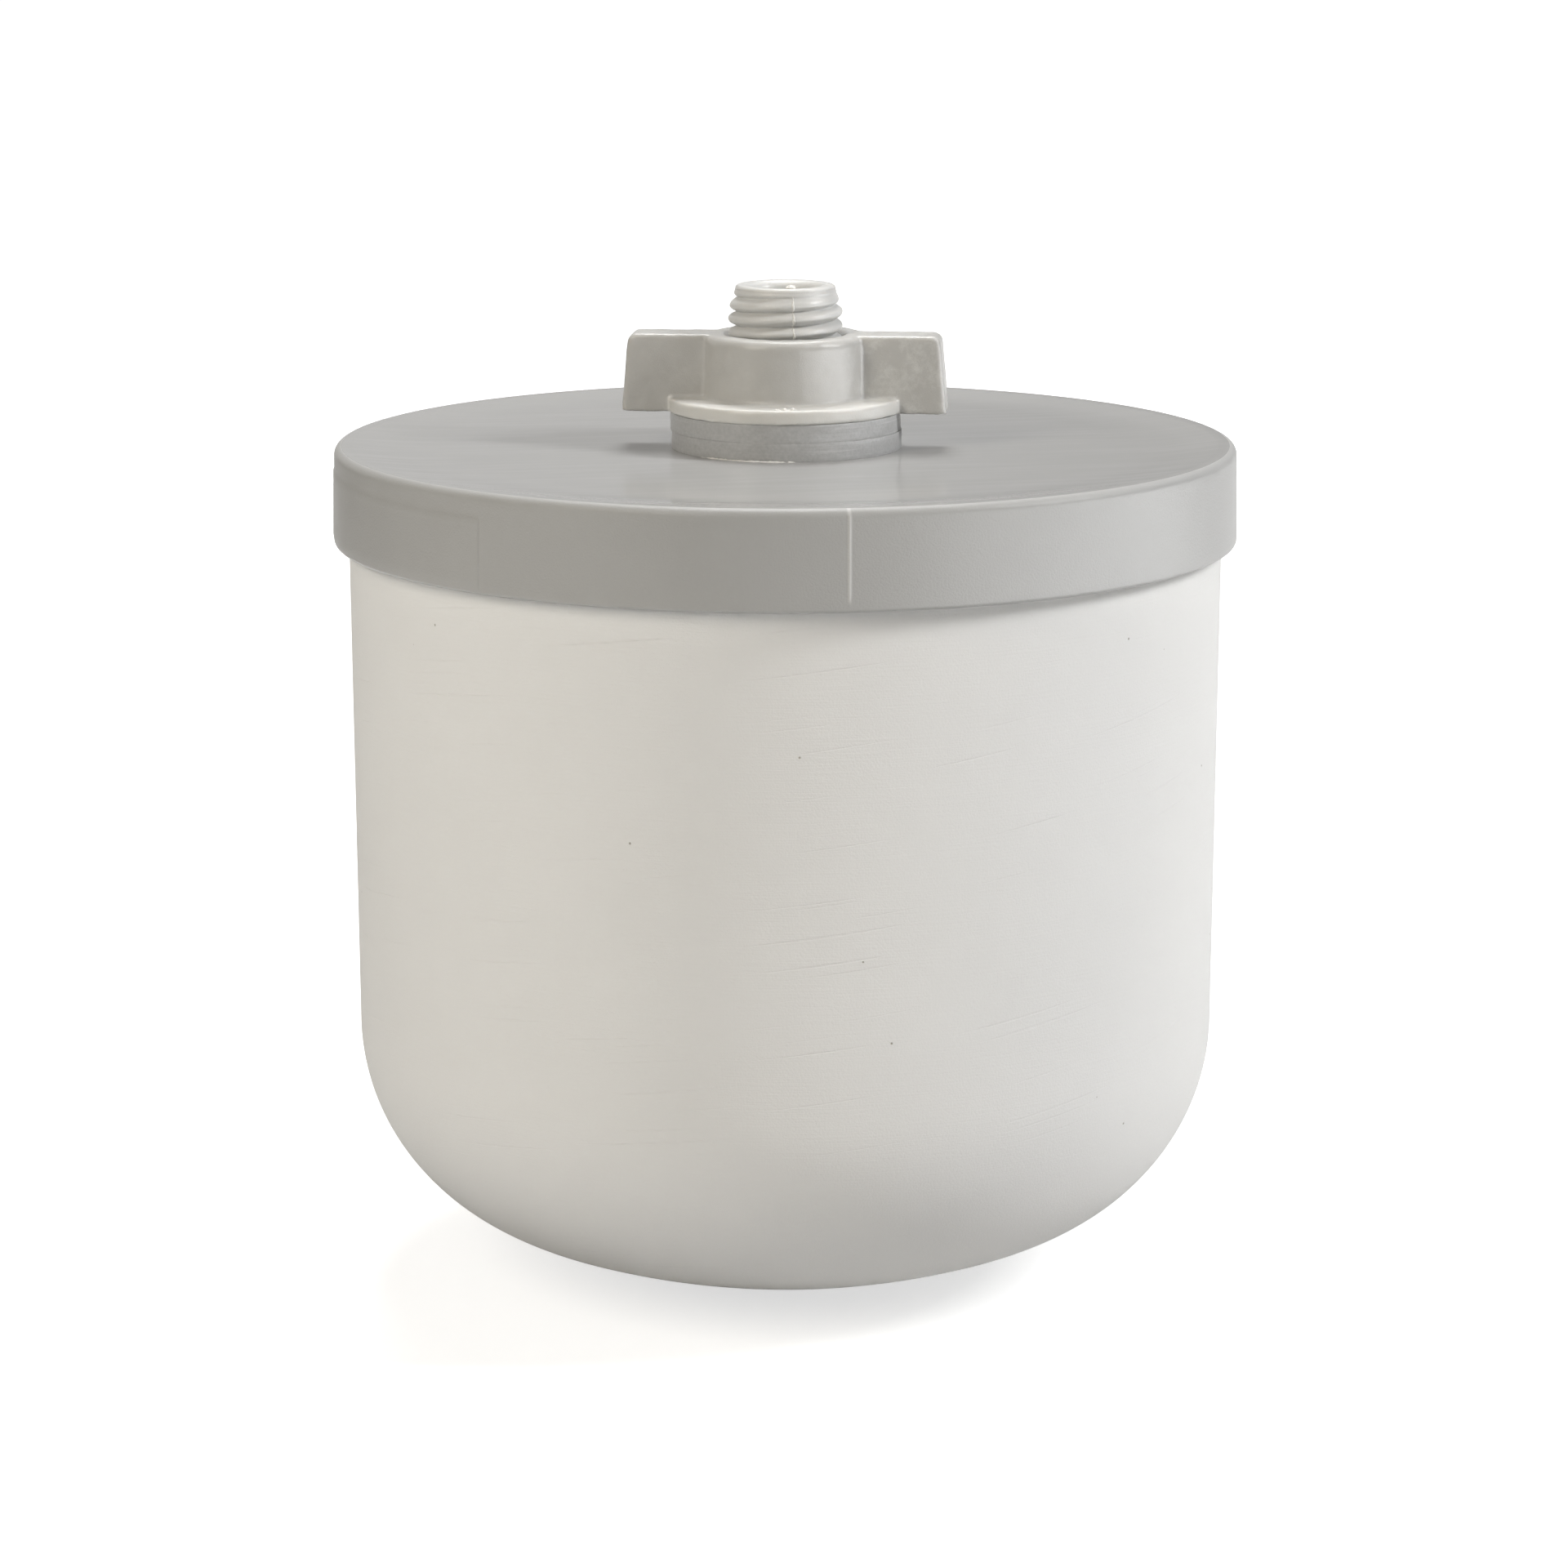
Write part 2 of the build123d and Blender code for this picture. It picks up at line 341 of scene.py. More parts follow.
def cap_radius_at(angle, radius, height):
    """The skirt's outside stands proud at the panel and at the weld line."""
    on_outside = radius >= skirt_inner_radius + skirt_least_wall
    if not on_outside or height > cap_top - plain_margin or height < skirt_bottom + plain_margin:
        return radius
    panel_arc = panel_edges[1] - panel_edges[0]
    from_edge = (panel_arc / 2 - abs(apart(angle, sum(panel_edges) / 2))) * radius
    level = ramp(height, panel_foot - panel_bevel, panel_foot) * ramp(panel_top - height, -panel_bevel, 0)
    panel = panel_proud * level * ramp(from_edge, -panel_bevel, 0)
    across = apart(angle, weld_angle) * radius / weld_half_width
    weld = weld_proud * math.exp(-across ** 2) * ramp(height, weld_foot - weld_fade, weld_foot + weld_fade)
    return radius + panel + weld


top_radius = cap_radius - (cap_top - skirt_bottom) * skirt_taper
panel_bevel_top = panel_top + panel_bevel
cap_outline = rounded(
    [
        (cap_hole_radius, cap_ceiling, 0),
        (skirt_inner_radius, cap_ceiling, 0.3),
        (skirt_inner_radius, skirt_bottom, 0.1),
        (cap_radius, skirt_bottom, skirt_foot_round),
        (cap_radius - (panel_top - skirt_bottom) * skirt_taper, panel_top, 0),
        (cap_radius - (panel_bevel_top - skirt_bottom) * skirt_taper, panel_bevel_top, 0),
        (top_radius, cap_top, cap_edge_round),
        (top_radius - rim_width, cap_top, rim_crest_round),
        (top_radius - rim_width - rim_slope_width, cap_seat, rim_foot_round),
        (cap_hole_radius, cap_seat, 0),
    ],
    8,
)
cap_resin = new_material("moulded_grey_abs")
cap_points, cap_faces = turned(
    divided(cap_outline, 0.6),
    turns(240, (*panel_edges, weld_angle), 0.7 / cap_radius, 24),
    cap_radius_at,
)
cap = new_piece("end_cap_moulding", cap_points, cap_faces, "filter", cap_resin)
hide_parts("end_cap")

# The tool was polished on top, so the cap mirrors what stands on it, and spark-eroded around the skirt,
# which gives a fine satin grain. Handling has left short scuffs on the gloss.
tree = cap_resin.node_tree
solid = add(tree, "ShaderNodeTexCoord", {}).outputs["Object"]
facing = add(tree, "ShaderNodeSeparateXYZ", {0: add(tree, "ShaderNodeNewGeometry", {}).outputs["Normal"]})
upright = add(
    tree, "ShaderNodeMapRange",
    {"Value": facing.outputs["Z"], "From Min": 0.998, "From Max": 0.97},
)
tint = add(tree, "ShaderNodeTexNoise", {"Vector": solid, "Scale": 1 / (12 * MM), "Detail": 4.0})
grey = add(
    tree, "ShaderNodeMix",
    {"Factor": tint.outputs["Fac"], "A": srgb("#A2A2A1"), "B": srgb("#A9A9A8")},
    data_type="RGBA",
)
# The weld line is painted paler on the skirt: a painted highlight along its ridge.
skin = add(tree, "ShaderNodeSeparateXYZ", {0: unrolled(tree, cap_radius)})
from_weld = add(
    tree, "ShaderNodeMath",
    {0: skin.outputs["X"], 1: (weld_angle + math.pi / 2) * cap_radius},
    operation="SUBTRACT",
)
beside_weld = add(tree, "ShaderNodeMath", {0: from_weld.outputs[0]}, operation="ABSOLUTE")
welded = add(
    tree, "ShaderNodeMapRange",
    {"Value": beside_weld.outputs[0], "From Min": 0.26, "From Max": 0.08, "To Max": 0.5},
)
above_foot = add(
    tree, "ShaderNodeMapRange",
    {"Value": skin.outputs["Y"], "From Min": weld_foot - weld_fade, "From Max": weld_foot + weld_fade},
)
weld_highlight_share = add(tree, "ShaderNodeMath", {0: welded.outputs[0], 1: above_foot.outputs[0]}, operation="MULTIPLY")
painted_weld_highlight = add(tree, "ShaderNodeMath", {0: weld_highlight_share.outputs[0], 1: upright.outputs[0]}, operation="MULTIPLY")
grey_with_painted_weld_highlight = add(
    tree, "ShaderNodeMix",
    {"Factor": painted_weld_highlight.outputs[0], "A": grey.outputs[2], "B": srgb("#D2D2D0")},
    data_type="RGBA",
)
# The spark grain is drawn 0.2 mm wide, coarser than it is, so that it shows. The scuffs are 14 mm long.
spark = add(tree, "ShaderNodeTexNoise", {"Vector": solid, "Scale": 1 / (0.2 * MM), "Detail": 3.0})
scuff_at = add(
    tree, "ShaderNodeMapping",
    {"Vector": solid, "Rotation": (0, 0, math.radians(12)), "Scale": (14 * MM, 1.5 * MM, 14 * MM)},
    vector_type="TEXTURE",
)
scuff = add(tree, "ShaderNodeTexNoise", {"Vector": scuff_at.outputs[0], "Scale": 1.0, "Detail": 2.0})
gloss = add(
    tree, "ShaderNodeMapRange",
    {"Value": scuff.outputs["Fac"], "From Min": 0.4, "From Max": 0.75, "To Min": 0.12, "To Max": 0.18},
)
rough = add(
    tree, "ShaderNodeMix",
    {"Factor": upright.outputs[0], "A": gloss.outputs[0], "B": 0.42},
    data_type="FLOAT",
)
grained = add(
    tree, "ShaderNodeBump",
    {"Height": spark.outputs["Fac"], "Distance": 0.035 * MM, "Strength": upright.outputs[0]},
)
resin = add(
    tree, "ShaderNodeBsdfPrincipled",
    {
        "Base Color": grey_with_painted_weld_highlight.outputs[2],
        "Roughness": rough.outputs[0],
        "IOR": 1.5,
        "Specular IOR Level": 0.27,
        "Normal": grained.outputs[0],
    },
)
add(tree, "ShaderNodeOutputMaterial", {"Surface": resin.outputs[0]})

# Outlet stem: a hollow moulding with a soft, full right-hand thread, bonded through the cap by its head.
# It is a paler and warmer resin than the cap's. The two halves of its tool met along a line in front.
stem_low, stem_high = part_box("outlet_stem")
stem_top = stem_high.z / MM
stem_head_radius = stem_high.x / MM
stem_foot = stem_low.z / MM
bore_radius = 3.35
thread_radius = 6.0
root_radius = 5.05
pitch = 1.5
first_crest = cap_seat + 0.72
shank_top = cap_seat + 0.4
lead_start = stem_top - 2.6
lead_end = stem_top - 0.4
lead_radius = 5.25
crest_fullness = 2.4
ring_start = stem_top - 1.15
ring_end = stem_top - 0.6
lip_outer_round = 0.38
lip_inner_round = 0.95
thread_rows = 150
flash_angle = math.radians(-90 + 8.5)


def stem_radius(angle, radius, height):
    """The thread's rounded crests and narrow roots, tapering into the plain ring at the mouth."""
    if radius != root_radius:
        return radius
    turns_up = (height - first_crest) / pitch - angle / math.tau
    from_crest = 2 * abs(turns_up - round(turns_up))
    ridge = 1 - from_crest ** crest_fullness
    ridge += (1 - ridge) * ramp(height, ring_start, ring_end)
    lead = min(1.0, max(0.0, (height - lead_start) / (lead_end - lead_start)))
    crest = thread_radius + (lead_radius - thread_radius) * lead
    return root_radius + (crest - root_radius) * ridge


head = [
    (stem_head_radius, stem_foot),
    (stem_head_radius, cap_ceiling),
    (thread_radius, cap_ceiling),
    (thread_radius, shank_top),
]
thread_length = lead_end - shank_top
thread = [(root_radius, shank_top + thread_length * (i + 1) / thread_rows) for i in range(thread_rows)]
lip = rounded(
    [
        (lead_radius, lead_end, 0),
        (lead_radius, stem_top, lip_outer_round),
        (bore_radius, stem_top, lip_inner_round),
        (bore_radius, stem_foot, 0),
    ],
    10,
)
pale_resin = new_material("moulded_pale_abs")
stem_points, stem_faces = turned(head + thread + lip[1:], turns(240), stem_radius)
stem = new_piece("outlet_stem_moulding", stem_points, stem_faces, "filter", pale_resin)
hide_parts("outlet_stem")


def cloudy(tree, solid, dark, light):
    """Colour that drifts from a dark to a light tone over 4 mm, as in a cheap masterbatch."""
    cloud = add(
        tree, "ShaderNodeTexNoise",
        {"Vector": solid, "Scale": 1 / (4 * MM), "Detail": 5.0, "Roughness": 0.6},
    )
    return add(
        tree, "ShaderNodeMix",
        {"Factor": cloud.outputs["Fac"], "A": srgb(dark), "B": srgb(light)},
        data_type="RGBA",
    ).outputs[2]


def satin_resin(tree, solid, colour, rubbed_colour, rubbed_share):
    """Satin ABS from an unpolished tool: a fine grain with a soap-like bloom, rubbed paler in patches."""
    patch = add(
        tree, "ShaderNodeTexNoise",
        {"Vector": solid, "Scale": 1 / (1.4 * MM), "Detail": 8.0, "Roughness": 0.75},
    )
    worn = add(
        tree, "ShaderNodeMapRange",
        {"Value": patch.outputs["Fac"], "From Min": 0.48, "From Max": 0.7},
    )
    rubbed = add(tree, "ShaderNodeMath", {0: worn.outputs[0], 1: rubbed_share}, operation="MULTIPLY")
    rubbed_resin = add(
        tree, "ShaderNodeMix",
        {"Factor": rubbed.outputs[0], "A": colour, "B": srgb(rubbed_colour)},
        data_type="RGBA",
    )
    sheen = add(
        tree, "ShaderNodeMapRange",
        {"Value": patch.outputs["Fac"], "From Min": 0.3, "From Max": 0.7, "To Min": 0.3, "To Max": 0.42},
    )
    grain = add(tree, "ShaderNodeTexNoise", {"Vector": solid, "Scale": 1 / (0.13 * MM), "Detail": 2.0})
    grained = add(tree, "ShaderNodeBump", {"Height": grain.outputs["Fac"], "Distance": 0.02 * MM})
    resin = add(
        tree, "ShaderNodeBsdfPrincipled",
        {
            "Base Color": rubbed_resin.outputs[2],
            "Roughness": sheen.outputs[0],
            "IOR": 1.53,
            "Subsurface Weight": 0.2,
            "Subsurface Radius": (0.9, 0.8, 0.7),
            "Subsurface Scale": MM,
            "Normal": grained.outputs[0],
        },
    )
    add(tree, "ShaderNodeOutputMaterial", {"Surface": resin.outputs[0]})


tree = pale_resin.node_tree
solid = add(tree, "ShaderNodeTexCoord", {}).outputs["Object"]
satin_resin(tree, solid, cloudy(tree, solid, "#C7C7C5", "#D0D0CE"), "#DCDCDA", 0.2)

# Moulding flash: a ragged thread of resin along the stem's parting line, with a torn lump on its lip.
# So thin that the resin has gone white.
# The same white also paints a glint, as a sliver along the lower washer's foot.
whitened_flash_and_glint = new_material("whitened_flash_and_painted_glint")
tree = whitened_flash_and_glint.node_tree
solid = add(tree, "ShaderNodeTexCoord", {}).outputs["Object"]
torn = add(tree, "ShaderNodeTexNoise", {"Vector": solid, "Scale": 1 / (0.3 * MM), "Detail": 3.0})
white = add(
    tree, "ShaderNodeMix",
    {"Factor": torn.outputs["Fac"], "A": srgb("#D5D3CE"), "B": srgb("#F1F0ED")},
    data_type="RGBA",
)
ragged = add(tree, "ShaderNodeBump", {"Height": torn.outputs["Fac"], "Distance": 0.05 * MM})
resin = add(
    tree, "ShaderNodeBsdfPrincipled",
    {"Base Color": white.outputs[2], "Roughness": 0.45, "IOR": 1.5, "Normal": ragged.outputs[0]},
)
add(tree, "ShaderNodeOutputMaterial", {"Surface": resin.outputs[0]})

flash_taper = 6
flash_ragged_share = 0.7
flash_wander_share = 0.4
flash_peak_share = 1.5


def sliver(name, path, width, height, body):
    """A thin ragged three-sided ridge along a path of (point, outward, sideways), fading at its ends."""
    points = []
    for i, (point, outward, sideways) in enumerate(path):
        end = min(1.0, flash_taper * min(i + 0.5, len(path) - i - 0.5) / len(path))
        size = end * (1 + flash_ragged_share * noise.noise(point * 3))
        wander = sideways * width * flash_wander_share * noise.noise(point * 1.7)
        foot = point + wander - outward * height / 2
        points += [
            foot - sideways * width / 2 * size,
            foot + outward * height * flash_peak_share * size,
            foot + sideways * width / 2 * size,
        ]
    faces = [(0, 1, 2), (len(points) - 1, len(points) - 2, len(points) - 3)]
    for i in range(0, len(points) - 3, 3):
        faces += [(i + k, i + (k + 1) % 3, i + 3 + (k + 1) % 3, i + 3 + k) for k in range(3)]
    return new_piece(name, points, faces, body, whitened_flash_and_glint)


flash_outward = Vector((math.cos(flash_angle), math.sin(flash_angle), 0))
flash_sideways = Vector((-flash_outward.y, flash_outward.x, 0))
flash_below_nut_top = 0.6
flash_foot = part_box("wing_nut")[1].z / MM - flash_below_nut_top
flash_steps = 89
flash_path = []
for i in range(flash_steps + 1):
    height = flash_foot + (lead_end - flash_foot) * i / flash_steps
    on_stem = flash_outward * stem_radius(flash_angle, root_radius, height) + Vector((0, 0, height))
    flash_path.append((on_stem, flash_outward, flash_sideways))
sliver("stem_flash", flash_path, width=0.3, height=0.11, body="filter")

lump_half_sizes = (0.55, 0.4, 0.38)
lump_radius = 4.35
lump_sunk = 0.02
lump_centre = flash_outward * lump_radius + Vector((0, 0, stem_top - lump_sunk))
lump = bmesh.new()
bmesh.ops.create_icosphere(lump, subdivisions=4, radius=1.0)
lump_points = []
for vert in lump.verts:
    swell = 1 + 0.4 * noise.noise(vert.co * 1.4)
    across, out, up = [c * h * swell for c, h in zip(vert.co, lump_half_sizes)]
    lump_points.append(lump_centre + flash_sideways * across + flash_outward * out + Vector((0, 0, up)))
lump_faces = [[vert.index for vert in face.verts] for face in lump.faces]
lump.free()
new_piece("stem_lip_flash", lump_points, lump_faces, "filter", whitened_flash_and_glint)

# Sealing washers: two flat rings of grey silicone rubber, one on the other, the lower a little to one side.
# Punched from sheet, so their walls are satin, with level drag marks and a few pale nicks. Pressed
# together, they show only a hairline between them.
washer_bore = 6.3
washer_edge = 0.012
washer_waver = 0.05
silicone = new_material("punched_grey_silicone")


def washer_wall(angle, radius, height):
    """The punched wall wanders a little in and out."""
    place = Vector((math.cos(angle) * 5, math.sin(angle) * 5, height * 1.5))
    return radius + washer_waver * noise.noise(place)


for node in ("lower_washer", "upper_washer"):
    low, high = [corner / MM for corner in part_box(node)]
    washer_radius = (high.x - low.x) / 2 - washer_waver
    washer_outline = rounded(
        [
            (washer_bore, low.z, 0),
            (washer_radius, low.z, washer_edge),
            (washer_radius, high.z, washer_edge),
            (washer_bore, high.z, 0),
        ],
        4,
    )
    washer_points, washer_faces = turned(divided(washer_outline, 0.4), turns(240), washer_wall)
    aside = Vector(((low.x + high.x) / 2, 0, 0))
    washer_points = [Vector(point) + aside for point in washer_points]
    body = "pinched_washer" if node == "upper_washer" else "filter"
    washer = new_piece(node + "_ring", washer_points, washer_faces, body, silicone)
    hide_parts(node)

tree = silicone.node_tree
solid = add(tree, "ShaderNodeTexCoord", {}).outputs["Object"]
skin = unrolled(tree, washer_radius)
bloom = add(tree, "ShaderNodeTexNoise", {"Vector": solid, "Scale": 1 / (0.35 * MM), "Detail": 4.0})
grey = add(
    tree, "ShaderNodeMix",
    {"Factor": bloom.outputs["Fac"], "A": srgb("#9A9B9B"), "B": srgb("#B8B8B8")},
    data_type="RGBA",
)
drag_at = add(tree, "ShaderNodeMapping", {"Vector": skin, "Scale": (9.0, 0.25, 1.0)}, vector_type="TEXTURE")
drag = add(tree, "ShaderNodeTexNoise", {"Vector": drag_at.outputs[0], "Scale": 1.0, "Detail": 3.0})
nicked = add(
    tree, "ShaderNodeMapRange",
    {"Value": drag.outputs["Fac"], "From Min": 0.62, "From Max": 0.76, "To Max": 0.6},
)
nicked_grey = add(
    tree, "ShaderNodeMix",
    {"Factor": nicked.outputs[0], "A": grey.outputs[2], "B": srgb("#CACACA")},
    data_type="RGBA",
)
dragged = add(tree, "ShaderNodeBump", {"Height": drag.outputs["Fac"], "Distance": 0.015 * MM})
bloomed = add(
    tree, "ShaderNodeBump",
    {"Height": bloom.outputs["Fac"], "Distance": 0.025 * MM, "Normal": dragged.outputs[0]},
)
rubber = add(
    tree, "ShaderNodeBsdfPrincipled",
    {"Base Color": nicked_grey.outputs[2], "Roughness": 0.3, "IOR": 1.5, "Normal": bloomed.outputs[0]},
)
add(tree, "ShaderNodeOutputMaterial", {"Surface": rubber.outputs[0]})

# Wing nut: one moulding of much the same resin, with a flange, a hub and two wings, screwed down on the
# washers. Its tool was worn, so its edges are soft and its faces a little uneven. The thin flange is
# painted
# paler: painted light, for the extra light that it catches.
nut_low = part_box("wing_nut")[0]
nut_bottom = nut_low.z / MM
flange_radius = -nut_low.y / MM
flange_top = nut_bottom + 1.5
nut_grid = 0.2
nut_easing = 5
nut_waver = 0.05


def eased(node, grid, rounds):
    """Mesh of a CAD node, drawn again on an even grid, with its edges eased."""
    copy = bpy.data.objects.new(node + "_copy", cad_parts[node].data)
    bpy.context.scene.collection.objects.link(copy)
    even = copy.modifiers.new("even", "REMESH")
    even.voxel_size = grid * MM
    ease = copy.modifiers.new("ease", "SMOOTH")
    ease.iterations = rounds
    mesh = bpy.data.meshes.new_from_object(copy.evaluated_get(bpy.context.evaluated_depsgraph_get()))
    bpy.data.objects.remove(copy)
    return mesh


nut_mesh = eased("wing_nut", nut_grid, nut_easing)
nut_points = []
for vert in nut_mesh.vertices:
    place = vert.co / MM
    nut_points.append(place + vert.normal * nut_waver * noise.noise(place * 0.7))
nut_faces = [face.vertices for face in nut_mesh.polygons]
nut_resin = new_material("moulded_warm_abs")
nut = new_piece("wing_nut_moulding", nut_points, nut_faces, "nut", nut_resin)
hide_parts("wing_nut")

tree = nut_resin.node_tree
solid = add(tree, "ShaderNodeTexCoord", {}).outputs["Object"]
level = add(tree, "ShaderNodeSeparateXYZ", {0: solid})
below_flange_top = add(
    tree, "ShaderNodeMapRange",
    {"Value": level.outputs["Z"], "From Min": (flange_top + 0.2) * MM, "From Max": flange_top * MM},
)
flat = add(tree, "ShaderNodeVectorMath", {0: solid, 1: (1, 1, 0)}, operation="MULTIPLY")
from_axis = add(tree, "ShaderNodeVectorMath", {0: flat.outputs[0]}, operation="LENGTH")
within = add(
    tree, "ShaderNodeMapRange",
    {
        "Value": from_axis.outputs["Value"],
        "From Min": (flange_radius + 0.25) * MM,
        "From Max": (flange_radius + 0.1) * MM,
    },
)
flange_mask_for_painted_light = add(tree, "ShaderNodeMath", {0: below_flange_top.outputs[0], 1: within.outputs[0]}, operation="MULTIPLY")
# The flange is painted paler: painted light, for the light it catches outside the wings' shadow.
resin_with_painted_flange_light = add(
    tree, "ShaderNodeMix",
    {"Factor": flange_mask_for_painted_light.outputs[0], "A": cloudy(tree, solid, "#B2B1AE", "#BBBAB7"), "B": srgb("#D1D0CC")},
    data_type="RGBA",
)
# Paler patches take a growing share from 5 to 10 mm right of the axis, most on the right wing.
paler_towards_right = add(
    tree, "ShaderNodeMapRange",
    {"Value": level.outputs["X"], "From Min": 5 * MM, "From Max": 10 * MM, "To Min": 0.15, "To Max": 0.75},
)
satin_resin(tree, solid, resin_with_painted_flange_light.outputs[2], "#CFCFCC", paler_towards_right.outputs[0])

# Flash around the nut: slivers that the tool left, torn on the flange's front and standing at its right
# end.
# Under the lower washer, a pale sliver of the same kind is a painted glint where the washer meets the cap.
upward = Vector((0, 0, 1))
ridge_steps = 59


def round_path(start, end, radius, height):
    """Places on a circle between two angles in degrees, each with its upward and outward directions."""
    path = []
    for i in range(ridge_steps + 1):
        angle = math.radians(start + (end - start) * i / ridge_steps)
        outward = Vector((math.cos(angle), math.sin(angle), 0))
        path.append((outward * radius + upward * height, upward, outward))
    return path


flange_front = round_path(-97, -83, flange_radius - 0.7, flange_top)
flange_end = round_path(-16, 0, flange_radius - 0.2, flange_top)
washer_foot_glint_path = round_path(-140, -80, washer_radius, cap_seat)
sliver("flange_flash", flange_front, width=0.35, height=0.16, body="nut")
sliver("flange_end_flash", flange_end, width=0.2, height=0.4, body="nut")
# A pale sliver along the lower washer's foot: a painted glint where it meets the cap, not flash.
sliver("washer_foot_painted_glint", washer_foot_glint_path, width=0.3, height=0.1, body="filter")

# Stage: white paper under the filter in a dim studio with grey walls. A narrow softbox stands on the right,
# a warmer one in front on the left, and a broad one hangs high at the back. Two low boards, a white one on
# the right and a dark one on the left, give the plastics something to mirror.
floor_width = 14.0
wall_radius = 4.0
wall_height = 2.6
wall_blend = 0.4
bpy.ops.mesh.primitive_plane_add(size=floor_width)
floor = bpy.context.object
floor.name = "floor"


def seen_directly(tree):
    """1 for rays from the camera and for mirrored or refracted ones, 0 for those that only carry light."""
    ray = add(tree, "ShaderNodeLightPath", {})
    shown = add(
        tree, "ShaderNodeMath",
        {0: ray.outputs["Is Camera Ray"], 1: ray.outputs["Is Glossy Ray"]},
        operation="MAXIMUM",
    )
    return add(
        tree, "ShaderNodeMath",
        {0: shown.outputs[0], 1: ray.outputs["Is Transmission Ray"]},
        operation="MAXIMUM",
    ).outputs[0]


# The paper shows white out to the horizon: where the lamps' light falls off, its own makes up for that.
paper = new_material("white_paper")
tree = paper.node_tree
place = add(tree, "ShaderNodeTexCoord", {}).outputs["Object"]
away = add(tree, "ShaderNodeVectorMath", {0: place}, operation="LENGTH")
faded = add(
    tree, "ShaderNodeMapRange",
    {"Value": away.outputs["Value"], "From Min": 0.08, "From Max": 0.7, "To Min": 0.66, "To Max": 1.0},
)
matt = add(tree, "ShaderNodeBsdfDiffuse", {"Color": srgb("#D6D6D6")})
glow = add(tree, "ShaderNodeEmission", {"Strength": faded.outputs[0]})
lit = add(tree, "ShaderNodeAddShader", {0: matt.outputs[0], 1: glow.outputs[0]})
shown = add(tree, "ShaderNodeMixShader", {0: seen_directly(tree), 1: matt.outputs[0], 2: lit.outputs[0]})
add(tree, "ShaderNodeOutputMaterial", {"Surface": shown.outputs[0]})
floor.data.materials.append(paper)

bpy.ops.mesh.primitive_cylinder_add(
    vertices=96, radius=wall_radius, depth=wall_height,
    end_fill_type="NOTHING", location=(0, 0, wall_height / 2),
)
walls = bpy.context.object
walls.name = "studio_walls"
walls.visible_camera = False
walls.visible_diffuse = False
# Matt grey paint, seen only in the gloss of the cap, which is paler on the left.
paint = new_material("grey_wall_paint")
tree = paint.node_tree
place = add(tree, "ShaderNodeSeparateXYZ", {0: add(tree, "ShaderNodeTexCoord", {}).outputs["Object"]})
rightward = add(
    tree, "ShaderNodeMapRange",
    {"Value": place.outputs["X"], "From Min": -wall_blend, "From Max": wall_blend},
)
shade = add(
    tree, "ShaderNodeMix",
    {"Factor": rightward.outputs[0], "A": srgb("#B4B3B2"), "B": srgb("#868584")},
    data_type="RGBA",
)
tone = add(tree, "ShaderNodeEmission", {"Color": shade.outputs[2]})
add(tree, "ShaderNodeOutputMaterial", {"Surface": tone.outputs[0]})
walls.data.materials.append(paint)


def board(name, azimuth, distance, width, height, colour, strength):
    """A board on the floor that faces the filter and shows only as a reflection on its sides."""
    turn = math.radians(azimuth)
    bpy.ops.mesh.primitive_plane_add(size=1.0, rotation=(math.pi / 2, 0, turn + math.pi / 2))
    card = bpy.context.object
    card.name = name
    card.scale = (width, height, 1)
    card.location = (distance * math.cos(turn), distance * math.sin(turn), height / 2)
    card.visible_camera = False
    card.visible_diffuse = False
    card.visible_shadow = False
    finish = new_material(name)
    glow = add(finish.node_tree, "ShaderNodeEmission", {"Color": srgb(colour), "Strength": strength})
    add(finish.node_tree, "ShaderNodeOutputMaterial", {"Surface": glow.outputs[0]})
    card.data.materials.append(finish)


board("dark_flag", azimuth=160, distance=0.3, width=0.5, height=0.11, colour="#606060", strength=1.0)
board("white_reflector", azimuth=-20, distance=0.3, width=0.5, height=0.1, colour="#FFFFFF", strength=9.5)

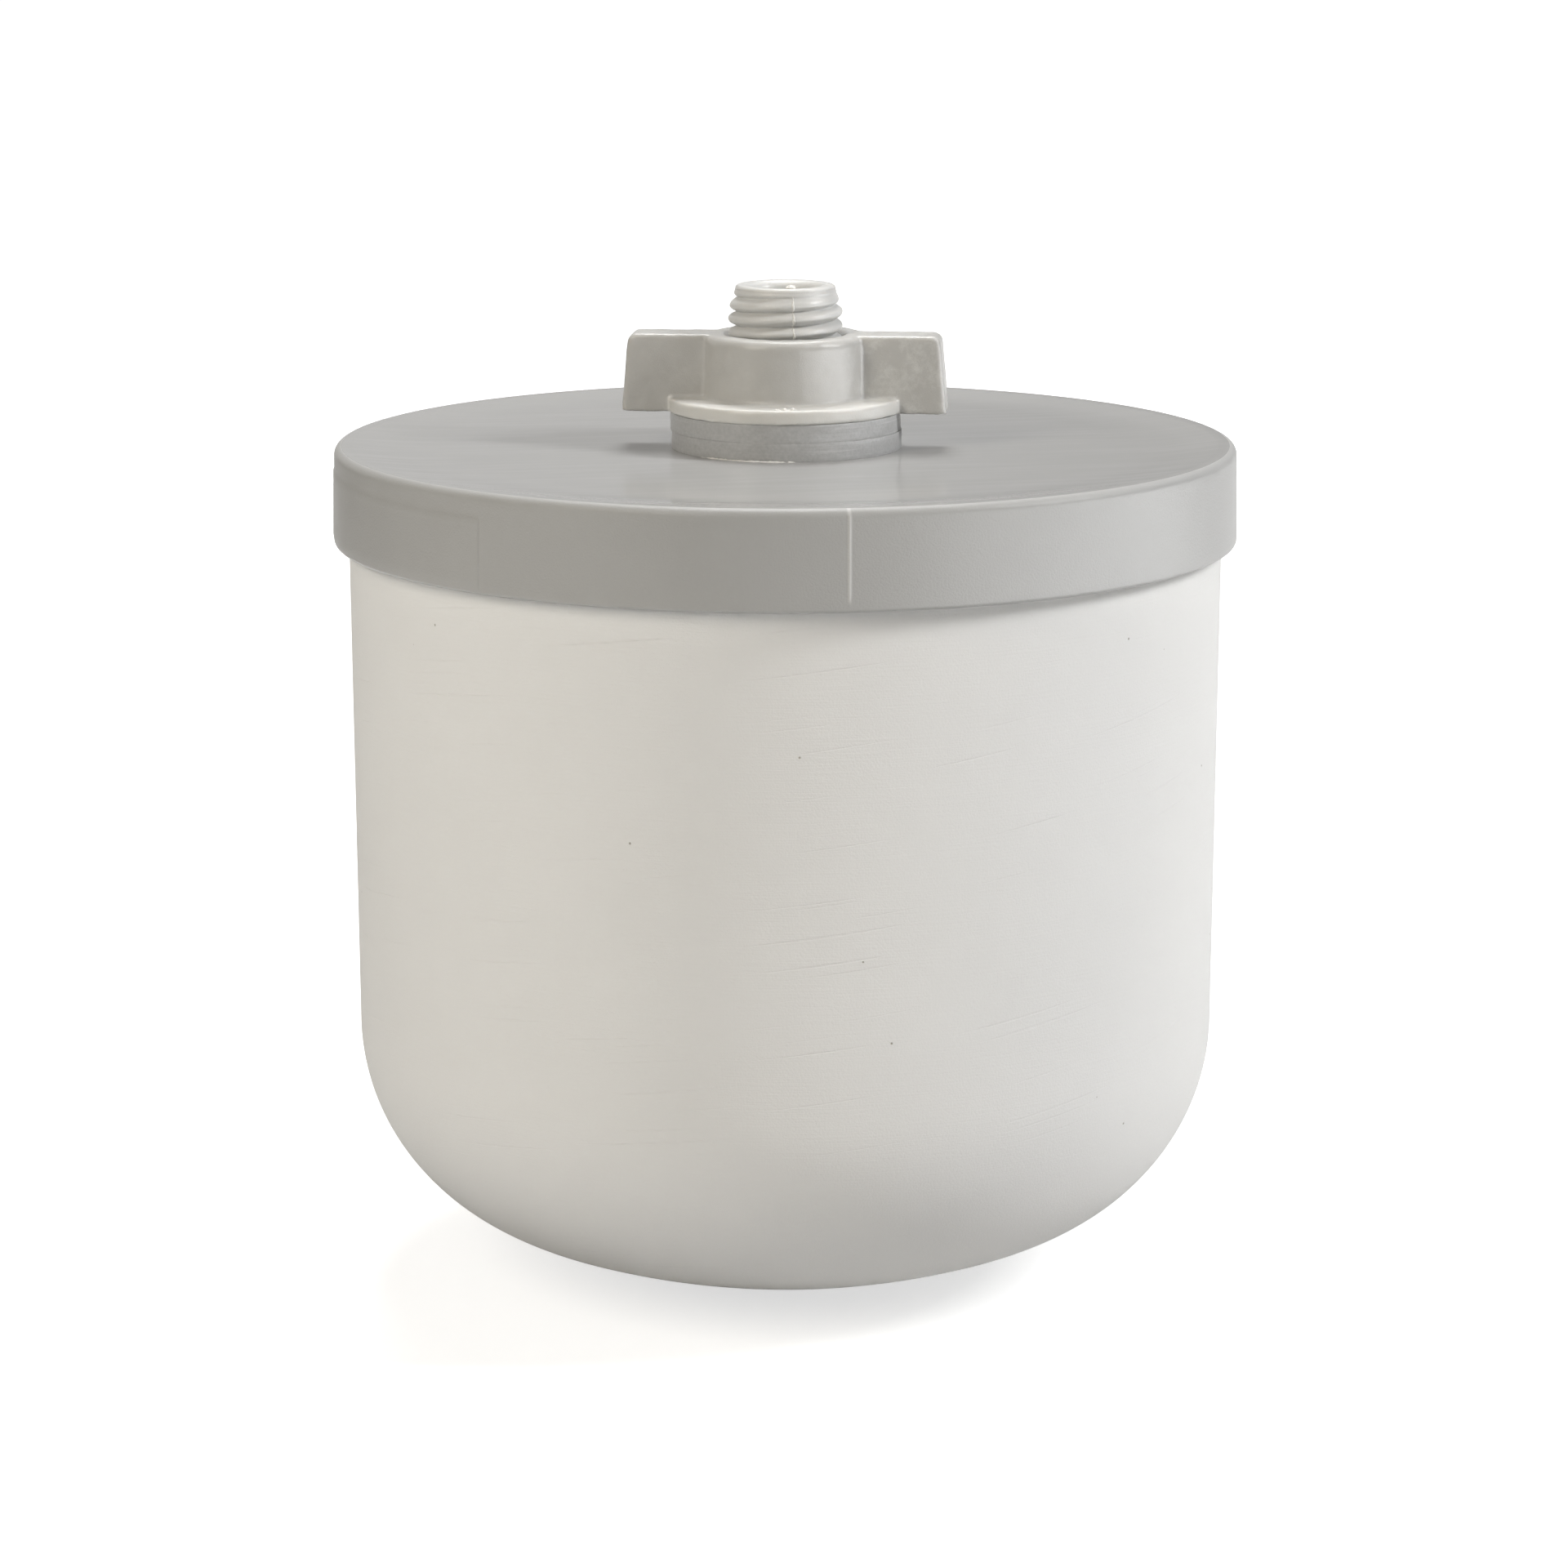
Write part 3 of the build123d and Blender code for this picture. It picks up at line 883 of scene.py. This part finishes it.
world = bpy.data.worlds.new("studio")
bpy.context.scene.world = world
world.use_nodes = True
tree = world.node_tree
tree.nodes.clear()
fill = add(tree, "ShaderNodeBackground", {"Color": srgb("#FFFAF2"), "Strength": 0.1})
white = add(tree, "ShaderNodeBackground", {"Color": (1, 1, 1, 1), "Strength": 1.0})
sky = add(tree, "ShaderNodeMixShader", {0: seen_directly(tree), 1: fill.outputs[0], 2: white.outputs[0]})
add(tree, "ShaderNodeOutputWorld", {"Surface": sky.outputs[0]})

filter_middle = Vector((0, 0, 0.055))


def softbox(name, azimuth, elevation, distance, width, height, power, colour):
    """A rectangular studio lamp facing the middle of the filter, placed around it by angles in degrees."""
    lamp = bpy.data.lights.new(name, "AREA")
    lamp.shape = "RECTANGLE"
    lamp.size = width
    lamp.size_y = height
    lamp.energy = power
    lamp.color = srgb(colour)[:3]
    level = math.cos(math.radians(elevation))
    away = Vector((
        level * math.cos(math.radians(azimuth)),
        level * math.sin(math.radians(azimuth)),
        math.sin(math.radians(elevation)),
    ))
    holder = bpy.data.objects.new(name, lamp)
    holder.location = filter_middle + away * distance
    holder.rotation_euler = away.to_track_quat("Z", "Y").to_euler()
    bpy.context.scene.collection.objects.link(holder)


softbox(
    "right_softbox", azimuth=-15, elevation=35, distance=0.64,
    width=0.05, height=0.2, power=2.65, colour="#FFFFFF",
)
softbox(
    "left_softbox", azimuth=-134, elevation=31, distance=0.67,
    width=0.25, height=0.4, power=2.2, colour="#FFF8EB",
)
softbox(
    "back_softbox", azimuth=88, elevation=68, distance=0.75,
    width=0.3, height=0.3, power=4.2, colour="#FFFFFF",
)

# Camera: the photograph's view, from a little above the cap.
frame_px = 1920
focal_px = 5749.0
axis_px = 961.7
distance = 0.502
elevation = math.radians(12.27)
target = Vector((0, 0, 0.0519))
lens = bpy.data.cameras.new("camera")
lens.sensor_width = 36.0
lens.lens = focal_px / frame_px * lens.sensor_width
lens.shift_x = (frame_px / 2 - axis_px) / frame_px
camera = bpy.data.objects.new("camera", lens)
camera.location = target + distance * Vector((0, -math.cos(elevation), math.sin(elevation)))
camera.rotation_euler = (target - camera.location).to_track_quat("-Z", "Y").to_euler()
bpy.context.scene.collection.objects.link(camera)
bpy.context.scene.camera = camera
bpy.context.scene.view_settings.view_transform = "Standard"
